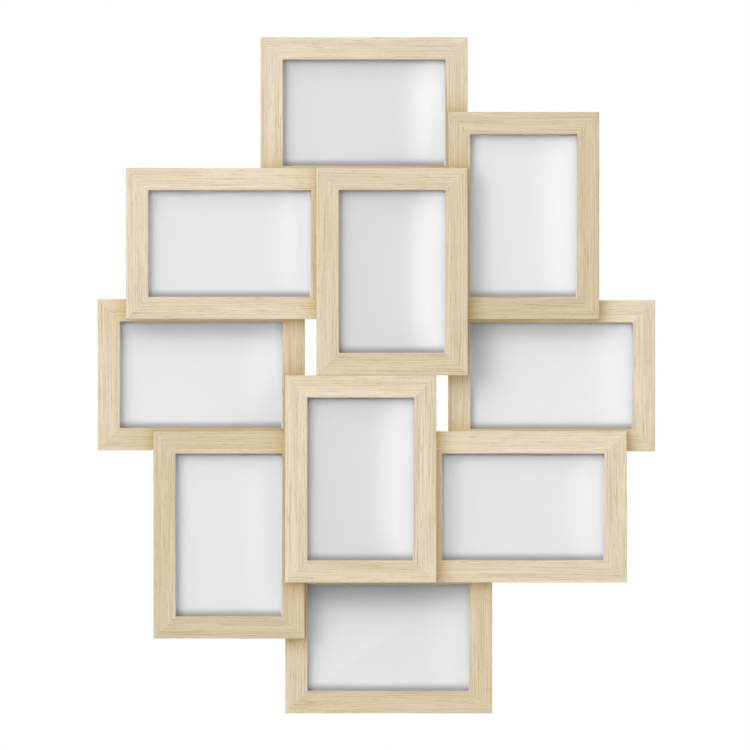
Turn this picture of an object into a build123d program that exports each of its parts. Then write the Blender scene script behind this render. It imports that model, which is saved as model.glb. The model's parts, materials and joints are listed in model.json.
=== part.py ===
from build123d import *

import os
from collections import namedtuple
from itertools import combinations
from math import hypot

# A wall collage of ten small picture frames, lapped over each other in three layers.
# Millimetres. X runs to the right, Z up, and the front looks along -Y, so the wall is on the +Y side.
# The origin is the centre of the whole piece. Five of the frames are placed from the sizes below, and the
# other five are those turned by half a turn about the origin, which is how the layout repeats.

# The sheet that each frame holds, and the glass in front of it
sheet_short = 100.0
sheet_long = 150.0
sheet_thickness = 0.3
glass_thickness = 2.0
sheet_clearance = 0.5

# The moulding: a flat rail with a lip in front of a pocket that is open to the back
moulding_width = 20.0
lip_width = 3.0
lip_thickness = 6.7
edge_radius = 0.8
glue_line = 0.1

# The backing board fills the rear of the pocket, flush with the back of the moulding
board_thickness = 3.0
board_clearance = 0.25

# How the frames stand and lap, in layers counted from the wall
wall_layer, middle_layer, front_layer = range(3)
centre_offset = 14.0
side_lap = 17.5
end_lap = 18.0
cross_lap = 15.0
stack_lap = 17.0

# The turn buttons and the screws that they swivel on
button_thickness = 1.0
button_hub_radius = 4.0
button_nose_radius = 2.5
button_grip = 4.0
button_clearance = 0.1
pivot_clearance = 0.08
pivot_screw_radius = 1.5
pivot_screw_hold = 9.0
pan_head_radius = 2.75
pan_head_height = 1.2
pan_head_rounding = 0.6

# The screws that join the frames where they lap
joining_screw_radius = 1.6
joining_screw_hold = 8.0
joining_head_radius = 3.0
joining_head_depth = 2.0
joining_gap = 1.5
short_lap_share = 0.3
long_lap_share = 0.19

# The cross in every screw head
cross_width = 0.7
cross_length = 3.0
cross_depth = 0.7

# The V-shaped nails across the mitres
nail_leg = 4.5
nail_thickness = 0.5
nail_length = 7.0

# The keyhole plates that the top frame hangs from, the right one this far in from the frame's end
hanger_inset = 15.5
hanger_width = 40.0
hanger_height = 15.0
hanger_thickness = 1.2
hanger_corner_radius = 2.0
keyhole_radius = 4.2
keyhole_slot_radius = 2.1
keyhole_rise = 4.5
keyhole_drop = 2.5
hanger_screw_spacing = 30.0
hanger_screw_hold = 8.0
wall_screw_head_clearance = 0.4
wall_screw_pocket_depth = 5.0

# The rubber bumpers that keep the screw heads off the wall
bumper_radius = 5.0
bumper_thickness = 3.0
bumper_rounding = 0.5
bumper_inset = 30.0

# A cut that has to pass a face runs this far beyond it
overrun = 1.0

# Sizes that follow from those above
pocket_short = sheet_short + 2 * sheet_clearance
pocket_long = sheet_long + 2 * sheet_clearance
window_short = pocket_short - 2 * lip_width
window_long = pocket_long - 2 * lip_width
frame_short = window_short + 2 * moulding_width
frame_long = window_long + 2 * moulding_width
pocket_wall = moulding_width - lip_width
pocket_depth = glass_thickness + sheet_thickness + board_thickness
moulding_depth = lip_thickness + pocket_depth
total_depth = (front_layer + 1) * moulding_depth + bumper_thickness
wall_y = total_depth / 2
button_gap = button_thickness + 2 * button_clearance
mitre_length = hypot(moulding_width + overrun, moulding_width + overrun)
joining_screw_length = moulding_depth + joining_screw_hold
joining_keep_out = button_hub_radius + joining_head_radius + joining_gap
joining_inset = pocket_wall / 2 + nail_leg + joining_head_radius + joining_gap

# The widest lap hides this much of a pocket from behind, so the boards are that much smaller on each side
hidden_pocket = max(side_lap, end_lap, cross_lap, stack_lap, pocket_wall) - pocket_wall
board_margin = hidden_pocket + board_clearance

Frame = namedtuple("Frame", "name x z width height layer")


def back_y(layer):
    """The back of the mouldings in a layer."""
    return wall_y - bumper_thickness - layer * moulding_depth


def upright(y):
    """An upright plane at this depth. On it X is right, Y is up, and extruding goes towards the front."""
    return Plane.XZ.offset(-y)


def turned(point):
    """A place in the layout after half a turn about the origin."""
    return (-point[0], -point[1])


def landscape(name, x, z, layer):
    return Frame(name, x, z, frame_long, frame_short, layer)


def portrait(name, x, z, layer):
    return Frame(name, x, z, frame_short, frame_long, layer)


def place_frames():
    """The ten frames. Each of the first five laps its neighbours by named laps, and the rest are turned.

    The left frame laps one frame above it and one below it, whose edges lie alike above and below the
    middle, and that sets the height of those edges.
    """
    half_short = frame_short / 2
    half_long = frame_long / 2
    centre_left = centre_offset - half_short
    centre_right = centre_offset + half_short
    side_edge = centre_right - side_lap
    upper_bottom = (frame_short - end_lap - stack_lap) / 2
    upper_top = upper_bottom + frame_short
    placed = [
        portrait("centre_upper", centre_offset, half_long, front_layer),
        portrait("upper_right", side_edge + half_short, upper_bottom + half_long, middle_layer),
        landscape("upper_left", centre_left + cross_lap - half_long, upper_bottom + half_short, middle_layer),
        landscape("top", centre_right - half_long, upper_top - end_lap + half_short, wall_layer),
        landscape("left", -side_edge - half_long, upper_bottom + end_lap - half_short, wall_layer),
    ]
    opposite = {
        "centre_upper": "centre_lower",
        "upper_right": "lower_left",
        "upper_left": "lower_right",
        "top": "bottom",
        "left": "right",
    }
    for frame in placed[:]:
        x, z = turned((frame.x, frame.z))
        placed.append(frame._replace(name=opposite[frame.name], x=x, z=z))
    return placed


frames = place_frames()
frame_named = {frame.name: frame for frame in frames}


def corners(frame):
    """The four outer corners as x, z, the way inwards along each, and the turn from the lower left one."""
    half_width = frame.width / 2
    half_height = frame.height / 2
    quarters = [(-1, -1, 0), (-1, 1, 90), (1, 1, 180), (1, -1, 270)]
    return [
        (frame.x + sx * half_width, frame.z + sz * half_height, -sx, -sz, turn)
        for sx, sz, turn in quarters
    ]


def button_pivots(frame):
    """Where the two turn buttons swivel: the name of the side, x, z, and the turn of a nose about +Y.

    They hold the board at the middle of two opposite sides. Frames in the middle layer that stand upright
    carry them on their long sides, because other frames cover their ends.
    """
    reach_x = frame.width / 2 - pocket_wall / 2
    reach_z = frame.height / 2 - pocket_wall / 2
    if frame.width > frame.height or frame.layer == middle_layer:
        return [
            ("left", frame.x - reach_x, frame.z, 0),
            ("right", frame.x + reach_x, frame.z, 180),
        ]
    return [
        ("upper", frame.x, frame.z + reach_z, 90),
        ("lower", frame.x, frame.z - reach_z, -90),
    ]


def lap_places(rear, front, low, high):
    """Two screw places along the longer side of a lap, whose low and high corners are given as (x, z).

    Each is a share of the lap from its end, past the corner nail there, and it is moved further inwards
    where the screw of a turn button is too near.
    """
    span_x = high[0] - low[0]
    span_z = high[1] - low[1]
    along, across = (0, 1) if span_x > span_z else (1, 0)
    span = max(span_x, span_z)
    end_share = short_lap_share if span < frame_long / 2 else long_lap_share
    pivots = [
        spot[along]
        for frame in (rear, front)
        for side, *spot, turn in button_pivots(frame)
        if low[across] < spot[across] < high[across]
    ]
    places = []
    for start, inwards in ((low, 1), (high, -1)):
        place = [(low[0] + high[0]) / 2, (low[1] + high[1]) / 2]
        place[along] = start[along] + inwards * max(end_share * span, joining_inset)
        for pivot in pivots:
            if abs(place[along] - pivot) < joining_keep_out:
                place[along] = pivot + inwards * joining_keep_out
        places.append(tuple(place))
    return places


def laps():
    """Each pair of frames one layer apart that lap: the rear frame, the front one and two screw places."""
    found = []
    for one, other in combinations(frames, 2):
        rear, front = sorted((one, other), key=lambda frame: frame.layer)
        low_x = max(f.x - f.width / 2 for f in (rear, front))
        high_x = min(f.x + f.width / 2 for f in (rear, front))
        low_z = max(f.z - f.height / 2 for f in (rear, front))
        high_z = min(f.z + f.height / 2 for f in (rear, front))
        if front.layer - rear.layer == 1 and low_x < high_x and low_z < high_z:
            found.append((rear, front, lap_places(rear, front, (low_x, low_z), (high_x, high_z))))
    return found


lap_list = laps()


def screw_blank(outline):
    """A turned screw without its cross. The outline gives (radius, y) from the head to the point."""
    with BuildPart() as blank:
        with BuildSketch(Plane.XY):
            with BuildLine():
                Polyline(*outline, close=True)
            make_face()
        revolve(axis=Axis.Y)
    return blank.part


def pan_screw_blank(shank_radius, shank_length):
    """A pan-head screw. Its head is seated on y = 0 and its shank points to the front."""
    return screw_blank(
        [
            (0, pan_head_height),
            (pan_head_radius - pan_head_rounding, pan_head_height),
            (pan_head_radius, pan_head_height - pan_head_rounding),
            (pan_head_radius, 0),
            (shank_radius, 0),
            (shank_radius, 2 * shank_radius - shank_length),
            (0, -shank_length),
        ]
    )


def countersunk_screw_blank():
    """A countersunk screw. Its head is flush with y = 0."""
    return screw_blank(
        [
            (0, 0),
            (joining_head_radius, 0),
            (joining_screw_radius, -joining_head_depth),
            (joining_screw_radius, 2 * joining_screw_radius - joining_screw_length),
            (0, -joining_screw_length),
        ]
    )


def crossed(blank, head_top):
    """The screw with a cross cut into its head, which ends at y = head_top."""
    with BuildPart() as screw:
        add(blank)
        with BuildSketch(upright(head_top)):
            Rectangle(cross_length, cross_width)
            Rectangle(cross_width, cross_length)
        extrude(amount=cross_depth, mode=Mode.SUBTRACT)
    return screw.part


def corner_nail():
    """A V nail for a lower left corner: its bend is at the origin and its legs lie along +X and +Z."""
    with BuildPart() as nail:
        with BuildSketch(upright(0)):
            Rectangle(nail_leg, nail_thickness, align=Align.MIN)
            Rectangle(nail_thickness, nail_leg, align=Align.MIN)
        extrude(amount=nail_length)
    return nail.part


pivot_blank = pan_screw_blank(pivot_screw_radius, pivot_screw_hold + button_gap)
hanger_blank = pan_screw_blank(pivot_screw_radius, hanger_screw_hold + hanger_thickness)
joining_blank = countersunk_screw_blank()
nail_shape = corner_nail()


def nail_places(frame):
    """Where the four corner nails are driven in, each with its bend across the mitre."""
    inset = pocket_wall / 2
    y = back_y(frame.layer)
    return [
        Location((x + inward_x * inset, y, z + inward_z * inset), (0, turn, 0))
        for x, z, inward_x, inward_z, turn in corners(frame)
    ]


def pivot_places(frame):
    """Where the heads of the two pivot screws are seated, just behind the turn buttons."""
    return [
        (x, back_y(frame.layer) + button_gap, z)
        for side, x, z, turn in button_pivots(frame)
    ]


def joining_places(frame):
    """Where joining screws enter this frame, or pass into it from the frame behind."""
    return [
        (x, back_y(rear.layer), z)
        for rear, front, places in lap_list
        if frame in (rear, front)
        for x, z in places
    ]


# The middles of the two keyhole plates and of their four screws, on the back of the top frame's upper rail.
# The plates stand alike about the middle of the whole piece, so that it hangs level.
top_back_y = back_y(frame_named["top"].layer)
top_right_x = frame_named["top"].x + frame_named["top"].width / 2
hanger_z = frame_named["top"].z + frame_named["top"].height / 2 - pocket_wall / 2
hanger_reach = top_right_x - hanger_inset - hanger_width / 2
hanger_middles = {"left": -hanger_reach, "right": hanger_reach}
hanger_screw_places = [
    (x + side * hanger_screw_spacing / 2, top_back_y + hanger_thickness, hanger_z)
    for x in hanger_middles.values()
    for side in (-1, 1)
]
keyhole_z = hanger_z - keyhole_drop


def frame_rails(frame):
    """Four mitred rails with a glue line at each mitre, cut for all that is driven into them."""
    back = back_y(frame.layer)
    window_width = frame.width - 2 * moulding_width
    window_height = frame.height - 2 * moulding_width
    with BuildPart() as rails:
        with BuildSketch(upright(back)):
            with Locations((frame.x, frame.z)):
                Rectangle(frame.width, frame.height)
                Rectangle(window_width, window_height, mode=Mode.SUBTRACT)
        extrude(amount=moulding_depth)
        fillet(rails.faces().sort_by(Axis.Y)[0].edges(), radius=edge_radius)
        with BuildSketch(upright(back)):
            with Locations((frame.x, frame.z)):
                Rectangle(window_width + 2 * lip_width, window_height + 2 * lip_width)
        extrude(amount=pocket_depth, mode=Mode.SUBTRACT)
        with BuildSketch(upright(back)):
            for x, z, inward_x, inward_z, turn in corners(frame):
                middle = (x + inward_x * moulding_width / 2, z + inward_z * moulding_width / 2)
                with Locations(Location(middle, 45 * inward_x * inward_z)):
                    Rectangle(mitre_length, glue_line)
        extrude(amount=moulding_depth, mode=Mode.SUBTRACT)
        with Locations(*nail_places(frame)):
            add(nail_shape, mode=Mode.SUBTRACT)
        with Locations(*pivot_places(frame)):
            add(pivot_blank, mode=Mode.SUBTRACT)
        with Locations(*joining_places(frame)):
            add(joining_blank, mode=Mode.SUBTRACT)
        if frame.name == "top":
            with Locations(*hanger_screw_places):
                add(hanger_blank, mode=Mode.SUBTRACT)
            with BuildSketch(upright(back)):
                with Locations(*[(x, keyhole_z) for x in hanger_middles.values()]):
                    wall_screw_pocket()
            extrude(amount=wall_screw_pocket_depth, mode=Mode.SUBTRACT)
    return rails.part


def wall_screw_pocket():
    """The outline of the pocket behind a keyhole, from its entry up to the end of its slot."""
    radius = keyhole_radius + wall_screw_head_clearance
    with Locations((0, keyhole_rise / 2)):
        SlotOverall(keyhole_rise + 2 * radius, 2 * radius, rotation=90)


def pocket_plate(frame, margin, thickness, front):
    """A plate in a frame's pocket, smaller than it by the margin all round, with its front at this y."""
    with BuildPart() as plate:
        with BuildSketch(upright(front + thickness)):
            with Locations((frame.x, frame.z)):
                Rectangle(
                    frame.width - 2 * (pocket_wall + margin),
                    frame.height - 2 * (pocket_wall + margin),
                )
        extrude(amount=thickness)
    return plate.part


def glass_pane(frame):
    """The pane that rests on the back of the lip."""
    lip_back = back_y(frame.layer) - pocket_depth
    return pocket_plate(frame, sheet_clearance, glass_thickness, lip_back)


def backing_board(frame):
    """The board that closes the pocket, small enough to pass the rails that lap over it."""
    front = back_y(frame.layer) - board_thickness
    return pocket_plate(frame, board_margin, board_thickness, front)


def insert_sheet(frame):
    """The blank sheet between the pane and the board."""
    front = back_y(frame.layer) - board_thickness - sheet_thickness
    return pocket_plate(frame, sheet_clearance, sheet_thickness, front)


def turn_button_shape():
    """A flat steel button with a round hub at the origin and a narrower nose that lies along +X."""
    nose_tip = pocket_wall / 2 + board_margin + button_grip
    with BuildPart() as button:
        with BuildSketch(upright(0)) as outline:
            Circle(button_hub_radius)
            with Locations((nose_tip - button_nose_radius, 0)):
                Circle(button_nose_radius)
            make_hull(outline.sketch_local.edges())
            Circle(pivot_screw_radius + pivot_clearance, mode=Mode.SUBTRACT)
        extrude(amount=-button_thickness)
    return button.part


button_shape = turn_button_shape()


def turn_button(frame, x, z, turn):
    """A frame's turn button, just clear of the rail and of the board that its nose holds."""
    with BuildPart() as button:
        with Locations(Location((x, back_y(frame.layer) + button_clearance, z), (0, turn, 0))):
            add(button_shape)
    return button.part


def hanger_plate(middle_x):
    """A steel plate with two screw holes and a keyhole, whose slot rises from a round entry."""
    screw_x = hanger_screw_spacing / 2
    with BuildPart() as plate:
        with BuildSketch(upright(top_back_y)):
            with Locations((middle_x, hanger_z)):
                RectangleRounded(hanger_width, hanger_height, hanger_corner_radius)
            with Locations((middle_x - screw_x, hanger_z), (middle_x + screw_x, hanger_z)):
                Circle(pivot_screw_radius, mode=Mode.SUBTRACT)
            with Locations((middle_x, keyhole_z)):
                Circle(keyhole_radius, mode=Mode.SUBTRACT)
            with Locations((middle_x, keyhole_z + keyhole_rise / 2)):
                SlotCenterToCenter(
                    keyhole_rise, 2 * keyhole_slot_radius, rotation=90, mode=Mode.SUBTRACT
                )
        extrude(amount=-hanger_thickness)
    return plate.part


def grouped(shape, places):
    """Copies of one small piece, one at each place."""
    with BuildPart() as group:
        with Locations(*places):
            add(shape)
    return group.part


def bumper_places():
    """Two bumpers on the top frame's side rails and two on the left frame's outer rail, and those turned."""
    top = frame_named["top"]
    left = frame_named["left"]
    top_reach = top.width / 2 - pocket_wall / 2
    left_reach = left.height / 2 - bumper_inset
    spots = [
        (top.x - top_reach, top.z + top.height / 2 - bumper_inset),
        (top.x + top_reach, top.z + top.height / 2 - bumper_inset),
        (left.x - left.width / 2 + pocket_wall / 2, left.z + left_reach),
        (left.x - left.width / 2 + pocket_wall / 2, left.z - left_reach),
    ]
    spots += [turned(spot) for spot in spots]
    return [(x, top_back_y, z) for x, z in spots]


def wall_bumper():
    """A low round bumper that stands out from y = 0 towards the wall."""
    with BuildPart() as bumper:
        with BuildSketch(upright(0)):
            Circle(bumper_radius)
        extrude(amount=-bumper_thickness)
        fillet(bumper.edges().sort_by(Axis.Y)[-1], radius=bumper_rounding)
    return bumper.part


def insert_sheets():
    """The ten sheets as one group of separate solids."""
    with BuildPart() as sheets:
        for frame in frames:
            add(insert_sheet(frame))
    return sheets.part


def save(part, name):
    """Labels a finished piece and writes it under its name."""
    part.label = name
    export_step(part, f"parts/{name}.step")


os.makedirs("parts", exist_ok=True)

for frame in frames:
    save(frame_rails(frame), f"{frame.name}_frame_rails")
    save(glass_pane(frame), f"{frame.name}_glass")
    save(backing_board(frame), f"{frame.name}_backing_board")
    for side, pivot_x, pivot_z, nose_turn in button_pivots(frame):
        button = turn_button(frame, pivot_x, pivot_z, nose_turn)
        save(button, f"{frame.name}_turn_button_{side}")

for side, middle_x in hanger_middles.items():
    save(hanger_plate(middle_x), f"hanger_plate_{side}")

pan_top = pan_head_height
pivot_spots = [spot for frame in frames for spot in pivot_places(frame)]
nail_spots = [spot for frame in frames for spot in nail_places(frame)]
joining_spots = [
    (x, back_y(rear.layer), z) for rear, front, places in lap_list for x, z in places
]

save(insert_sheets(), "insert_sheets")
save(grouped(nail_shape, nail_spots), "corner_nails")
save(grouped(crossed(pivot_blank, pan_top), pivot_spots), "turn_button_screws")
save(grouped(crossed(hanger_blank, pan_top), hanger_screw_places), "hanger_screws")
save(grouped(crossed(joining_blank, 0), joining_spots), "joining_screws")
save(grouped(wall_bumper(), bumper_places()), "wall_bumpers")
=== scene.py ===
import json
import math

import bmesh
import bpy
import numpy as np
from bpy.props import FloatProperty, FloatVectorProperty, IntProperty, PointerProperty
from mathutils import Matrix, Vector


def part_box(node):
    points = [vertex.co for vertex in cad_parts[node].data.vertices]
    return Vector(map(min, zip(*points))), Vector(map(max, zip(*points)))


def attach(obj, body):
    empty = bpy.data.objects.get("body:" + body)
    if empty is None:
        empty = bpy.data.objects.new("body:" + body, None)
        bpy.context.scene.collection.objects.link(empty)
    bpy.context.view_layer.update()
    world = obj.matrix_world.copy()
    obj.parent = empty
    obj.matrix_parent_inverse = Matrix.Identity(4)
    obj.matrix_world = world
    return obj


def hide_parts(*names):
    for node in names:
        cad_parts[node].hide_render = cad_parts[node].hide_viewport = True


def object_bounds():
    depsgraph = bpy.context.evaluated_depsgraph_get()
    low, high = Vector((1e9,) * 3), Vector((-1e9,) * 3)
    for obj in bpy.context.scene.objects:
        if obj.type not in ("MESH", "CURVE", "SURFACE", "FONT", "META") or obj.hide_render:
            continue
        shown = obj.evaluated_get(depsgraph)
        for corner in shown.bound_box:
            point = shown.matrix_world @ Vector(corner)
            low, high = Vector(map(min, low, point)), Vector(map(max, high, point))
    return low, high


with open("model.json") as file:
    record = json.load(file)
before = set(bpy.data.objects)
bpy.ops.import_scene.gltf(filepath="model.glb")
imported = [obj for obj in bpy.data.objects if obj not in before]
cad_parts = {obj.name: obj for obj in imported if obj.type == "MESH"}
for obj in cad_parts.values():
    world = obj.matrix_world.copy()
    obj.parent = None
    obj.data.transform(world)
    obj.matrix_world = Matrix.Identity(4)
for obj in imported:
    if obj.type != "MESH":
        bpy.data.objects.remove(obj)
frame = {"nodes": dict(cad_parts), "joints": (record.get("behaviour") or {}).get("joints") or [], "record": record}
packed_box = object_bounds()

bl_info = {
    "name": "Wall Collage Finisher",
    "version": (1, 0, 0),
    "blender": (4, 5, 0),
    "location": "View3D > Sidebar > Collage",
    "description": "Finishes a wall collage of ten lapped picture frames: mouldings, cards, glass, fittings",
    "category": "Object",
}

# The body that everything but the turn buttons belongs to, the ending of the rails' nodes and the ten frames
BASE = "collage"
RAILS = "_frame_rails"
FRAMES = sorted(name[: -len(RAILS)] for name in frame["nodes"] if name.endswith(RAILS))

# How much lighter or darker the wood of each frame is than the colour that is set, as a share
WOOD_TONE = {
    "top": 0.05,
    "upper_left": 0.06,
    "upper_right": -0.08,
    "centre_upper": -0.015,
    "left": 0.02,
    "right": 0.06,
    "centre_lower": 0.04,
    "lower_left": -0.09,
    "lower_right": 0.055,
    "bottom": -0.045,
}

# The same for the lower, right, upper and left rail of every frame
SIDE_TONE = (-0.03, -0.02, 0.015, 0.015)

# The most by which a rail's tone is off by chance
CHANCE_TONE = 0.008

# How much a tone changes the red, green and blue of the wood
TONE_BY_COLOUR = (1.0, 1.15, 1.75)

# How much lighter or darker the grey of each card is than the grey that is set, as a share. Partly these
# are the cards' own greys and partly painted light: cards in the shade of a frame in front, such as the
# bottom and right ones, are made lighter to make up for it
CARD_TONE = {
    "top": -0.065,
    "centre_upper": -0.075,
    "centre_lower": -0.055,
    "bottom": 0.05,
    "left": 0.03,
    "lower_left": 0.03,
    "lower_right": 0.015,
    "right": 0.03,
}

# The soft lights: where each is, the way its light travels and its part of the wash
WASHES = (
    ("front", (0, 1, 0), 1.6),
    ("back", (0, -1, 0), 1.6),
    ("top", (0, 0, -1), 1.4),
    ("left", (1, 0, 0), 0.9),
    ("right", (-1, 0, 0), 0.7),
)

# What the UV map and the attributes on the new meshes are called
GRAIN_MAP = "grain"
FOIL = "foil"
TONE = "tone"
# The lap attribute holds how much painted shade a rail gets beside a frame in front
LAP_SHADE = "lap"
PRINT = "print_place"
WINDOW = "window_size"

# How far the rails' places in the grain are spread along it and across it, in metres
GRAIN_LENGTH = 20
GRAIN_WIDTH = 5

# Places in metres that are nearer than this count as one, and the decimals that go with it
SAME_PLACE = 1e-5
DECIMALS = 5

# Points of one mesh that are nearer than this are merged
DOUBLE = 1e-7

# Edges of round pieces that turn by more than this stay sharp
SHARP = math.radians(35)

# How many points each curve has
EDGE_POINTS = 5
NOSE_POINTS = 17
HUB_POINTS = 33
EASING_POINTS = 4
RIM_POINTS = 6
DOME_POINTS = 9
BUMPER_POINTS = 40
SINK_POINTS = 48
KEYHOLE_POINTS = 17
FLOOR_POINTS = 64

# Where the rows over a cross recess lie, as shares of its arm: its middle, just within and past where the
# arms meet, and its end
CROSS_ROWS = (0, 0.2, 0.37, 0.4, 0.7, 1, 1.03)

# How wide the sloping wall of a cross is in metres, and the most that its angle may be near the middle
CROSS_WALL = 0.00004
MOST_WALL = 0.05

# The most that the sine of the angle to an arm's edge may be near the middle of a cross
MOST_EDGE = 0.64


def plain(name, description, default, **kind):
    """A property that holds a number of any size."""
    return FloatProperty(name=name, description=description, default=default, **kind)


def length(name, description, default):
    """A property that holds a length in metres."""
    return plain(name, description, default, min=0.0, unit="LENGTH", precision=5)


def share(name, description, default):
    """A property that holds a number from nought to one."""
    return plain(name, description, default, min=0.0, max=1.0, subtype="FACTOR")


def factor(name, description, default):
    """A property that holds a number to multiply by."""
    return plain(name, description, default, min=0.0, soft_max=2.0)


def colour(name, description, default):
    """A property that holds a linear colour."""
    return FloatVectorProperty(name=name, description=description, default=default, size=3, subtype="COLOR")


class MouldingSettings(bpy.types.PropertyGroup):
    """Sizes and colours of the mouldings"""

    width: length("Width", "Width of a rail across its face", 0.020)
    lip_width: length("Lip", "How far the lip reaches over the glass", 0.003)
    edge_radius: length("Edge radius", "Radius of the front edges", 0.0008)
    back_easing: length("Back easing", "How much is taken off the edges at the back", 0.0003)
    foil_lap: length("Foil lap", "How far the foil is turned over onto the back", 0.005)
    nail_leg: length("Nail leg", "Length of each leg of a corner nail", 0.0045)
    nail_thickness: length("Nail thickness", "Thickness of a corner nail", 0.0005)
    nail_length: length("Nail length", "How deep a corner nail goes", 0.007)
    fit_gap: length("Fit gap", "Gap left round what is sunk into the wood", 0.00006)
    steps: IntProperty(name="Steps", description="Faces along each rail", default=40, min=1)
    strips: IntProperty(name="Strips", description="Faces across the front of a rail", default=8, min=1)
    foil: colour("Foil", "Colour of the wood-grain foil between its lines", (0.757, 0.661, 0.500))
    foil_line: colour("Foil lines", "What the darkest lines multiply the foil by", (0.66, 0.56, 0.37))
    # Painted shade: beside a frame in front the foil is darkened to a warm tint, where its shade falls
    lap_shade_tint: colour("Lap tint", "What multiplies the foil beside a frame in front", (0.90, 0.81, 0.60))
    lap_shade_reach: length("Lap reach", "Distance in which that tint falls to about a third", 0.008)
    rib_pitch: length("Rib pitch", "Distance between the fine lines pressed into the foil", 0.0027)
    core: colour("Core", "Colour of the bare wood at the back", (0.520, 0.360, 0.205))


class CardSettings(bpy.types.PropertyGroup):
    """Sizes and greys of the cards behind the glass"""

    grey: share("Grey", "How light the print is away from its glow", 0.796)
    # Painted highlight that stands in for a reflection: how light it is, and where it starts and is full
    painted_highlight: share("Glow", "How light the print is in its glow", 0.863)
    white: share("White", "How light the bare card is outside the print", 0.92)
    highlight_start: length("Glow start", "Distance from the right edge at which the glow starts", 0.045)
    highlight_full: length("Glow full", "Distance from the right edge at which the glow is full", 0.014)
    highlight_bend: length("Glow bend", "How much later the glow starts at the top and bottom", 0.014)
    # Painted shade at the print's foot and painted light at its other edges, against the lip's shade
    foot_shade: share("Foot shade", "What the print's lower edge is darkened to", 0.57)
    foot_depth: length("Foot depth", "How far the shade reaches up from the lower edge", 0.008)
    left_painted_light: factor("Left lift", "What the print's left edge is multiplied by", 1.10)
    right_painted_light: factor("Right lift", "What the print's right edge is multiplied by", 1.07)
    top_painted_light: factor("Top lift", "What the print's upper edge is multiplied by", 1.18)
    painted_light_depth: length("Lift depth", "How far the lift reaches in from these edges", 0.011)
    side_margin: length("Side margin", "Width of the white card that shows beside the print", 0.0009)


class FittingSettings(bpy.types.PropertyGroup):
    """Sizes and colours of the fittings at the back"""

    button_hub: length("Button hub", "Radius of a turn button round its screw", 0.004)
    button_nose: length("Button nose", "Radius of a turn button at its nose", 0.0025)
    button_hole: length("Button hole", "Radius of the hole in a turn button", 0.00158)
    button_easing: length("Button easing", "Radius of the edges of a turn button", 0.00025)
    pan_radius: length("Pan head radius", "Radius of a pan head", 0.00275)
    pan_height: length("Pan head height", "Height of a pan head", 0.0012)
    pan_side: length("Pan head side", "Height of the straight side of a pan head", 0.0004)
    flat_radius: length("Flat head radius", "Radius of a countersunk head", 0.003)
    flat_depth: length("Flat head depth", "Depth of a countersunk head", 0.002)
    thin_shank: length("Thin shank", "Radius of the pan-head screws", 0.0015)
    thick_shank: length("Thick shank", "Radius of the countersunk screws", 0.0016)
    joining_length: length("Joining screw", "Length of a countersunk screw", 0.020)
    cross_arm: length("Cross arm", "How far the cross in a head reaches from its middle", 0.0015)
    cross_width: length("Cross width", "Half the width of an arm of the cross", 0.0004)
    cross_depth: length("Cross depth", "Depth of the cross at its middle", 0.0008)
    keyhole_radius: length("Keyhole pocket", "Radius of the pocket behind a keyhole", 0.0046)
    keyhole_rise: length("Keyhole rise", "How far a keyhole's slot rises", 0.0045)
    keyhole_depth: length("Keyhole depth", "Depth of the pocket behind a keyhole", 0.005)
    zinc: colour("Zinc", "Colour of the plated steel", (0.40, 0.41, 0.42))
    steel: colour("Steel", "Colour of the nails", (0.26, 0.26, 0.27))
    rubber: colour("Rubber", "Colour of the bumpers", (0.022, 0.022, 0.023))
    board: colour("Board", "Colour of the backing boards", (0.225, 0.125, 0.060))
    board_light: colour("Board light", "Colour of the lighter fibres of the boards", (0.285, 0.168, 0.086))


class StageSettings(bpy.types.PropertyGroup):
    """The camera, the light and the floor"""

    view_width: length("View width", "Width that the picture shows at the object", 0.66975)
    view_x: plain("View X", "Middle of the picture", -0.00125, unit="LENGTH", precision=5)
    view_z: plain("View Z", "Middle of the picture", 0.00018, unit="LENGTH", precision=5)
    lens: plain("Lens", "Focal length", 600.0, subtype="DISTANCE_CAMERA")
    sensor: plain("Sensor", "Sensor width", 36.0, subtype="DISTANCE_CAMERA")
    floor_drop: length("Floor drop", "How far the floor is below the object", 0.35)
    floor_radius: length("Floor radius", "Radius of the floor", 3.0)
    floor: colour("Floor", "Colour of the floor", (0.86, 0.86, 0.85))
    key: plain("Key", "Strength of the main light", 0.85)
    key_way: FloatVectorProperty(
        name="Key way",
        description="The way that the main light travels",
        default=(0.62, 1.0, -0.42),
        subtype="XYZ",
    )
    key_spread: plain("Key spread", "How wide the main light is", math.radians(42), subtype="ANGLE")
    wash: plain("Wash", "Strength of the light from all round", 0.965)
    wash_spread: plain("Wash spread", "How wide each soft light is", math.radians(120), subtype="ANGLE")


# Meshes


def grid_quads(index):
    """Quads of a grid, from the numbers of its points, the first repeated at the end where it closes."""
    return np.stack([index[:-1, :-1], index[:-1, 1:], index[1:, 1:], index[1:, :-1]], axis=-1).reshape(-1, 4)


def closed_quads(rows, columns, close_rows=False):
    """Quads of a grid that closes across its columns and, if wanted, across its rows."""
    row = np.arange(rows + 1) % rows if close_rows else np.arange(rows)
    return grid_quads(row[:, None] * columns + np.arange(columns + 1) % columns).tolist()


def new_mesh(name, points, faces, smooth=False):
    """A mesh whose doubles are merged and whose faces all point outwards."""
    mesh = bpy.data.meshes.new(name)
    mesh.from_pydata(np.asarray(points).reshape(-1, 3).tolist(), [], [list(face) for face in faces])
    form = bmesh.new()
    form.from_mesh(mesh)
    bmesh.ops.remove_doubles(form, verts=form.verts, dist=DOUBLE)
    bmesh.ops.recalc_face_normals(form, faces=form.faces)
    form.to_mesh(mesh)
    form.free()
    if smooth:
        mesh.shade_smooth()
        mesh.set_sharp_from_angle(angle=SHARP)
    return mesh


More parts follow.
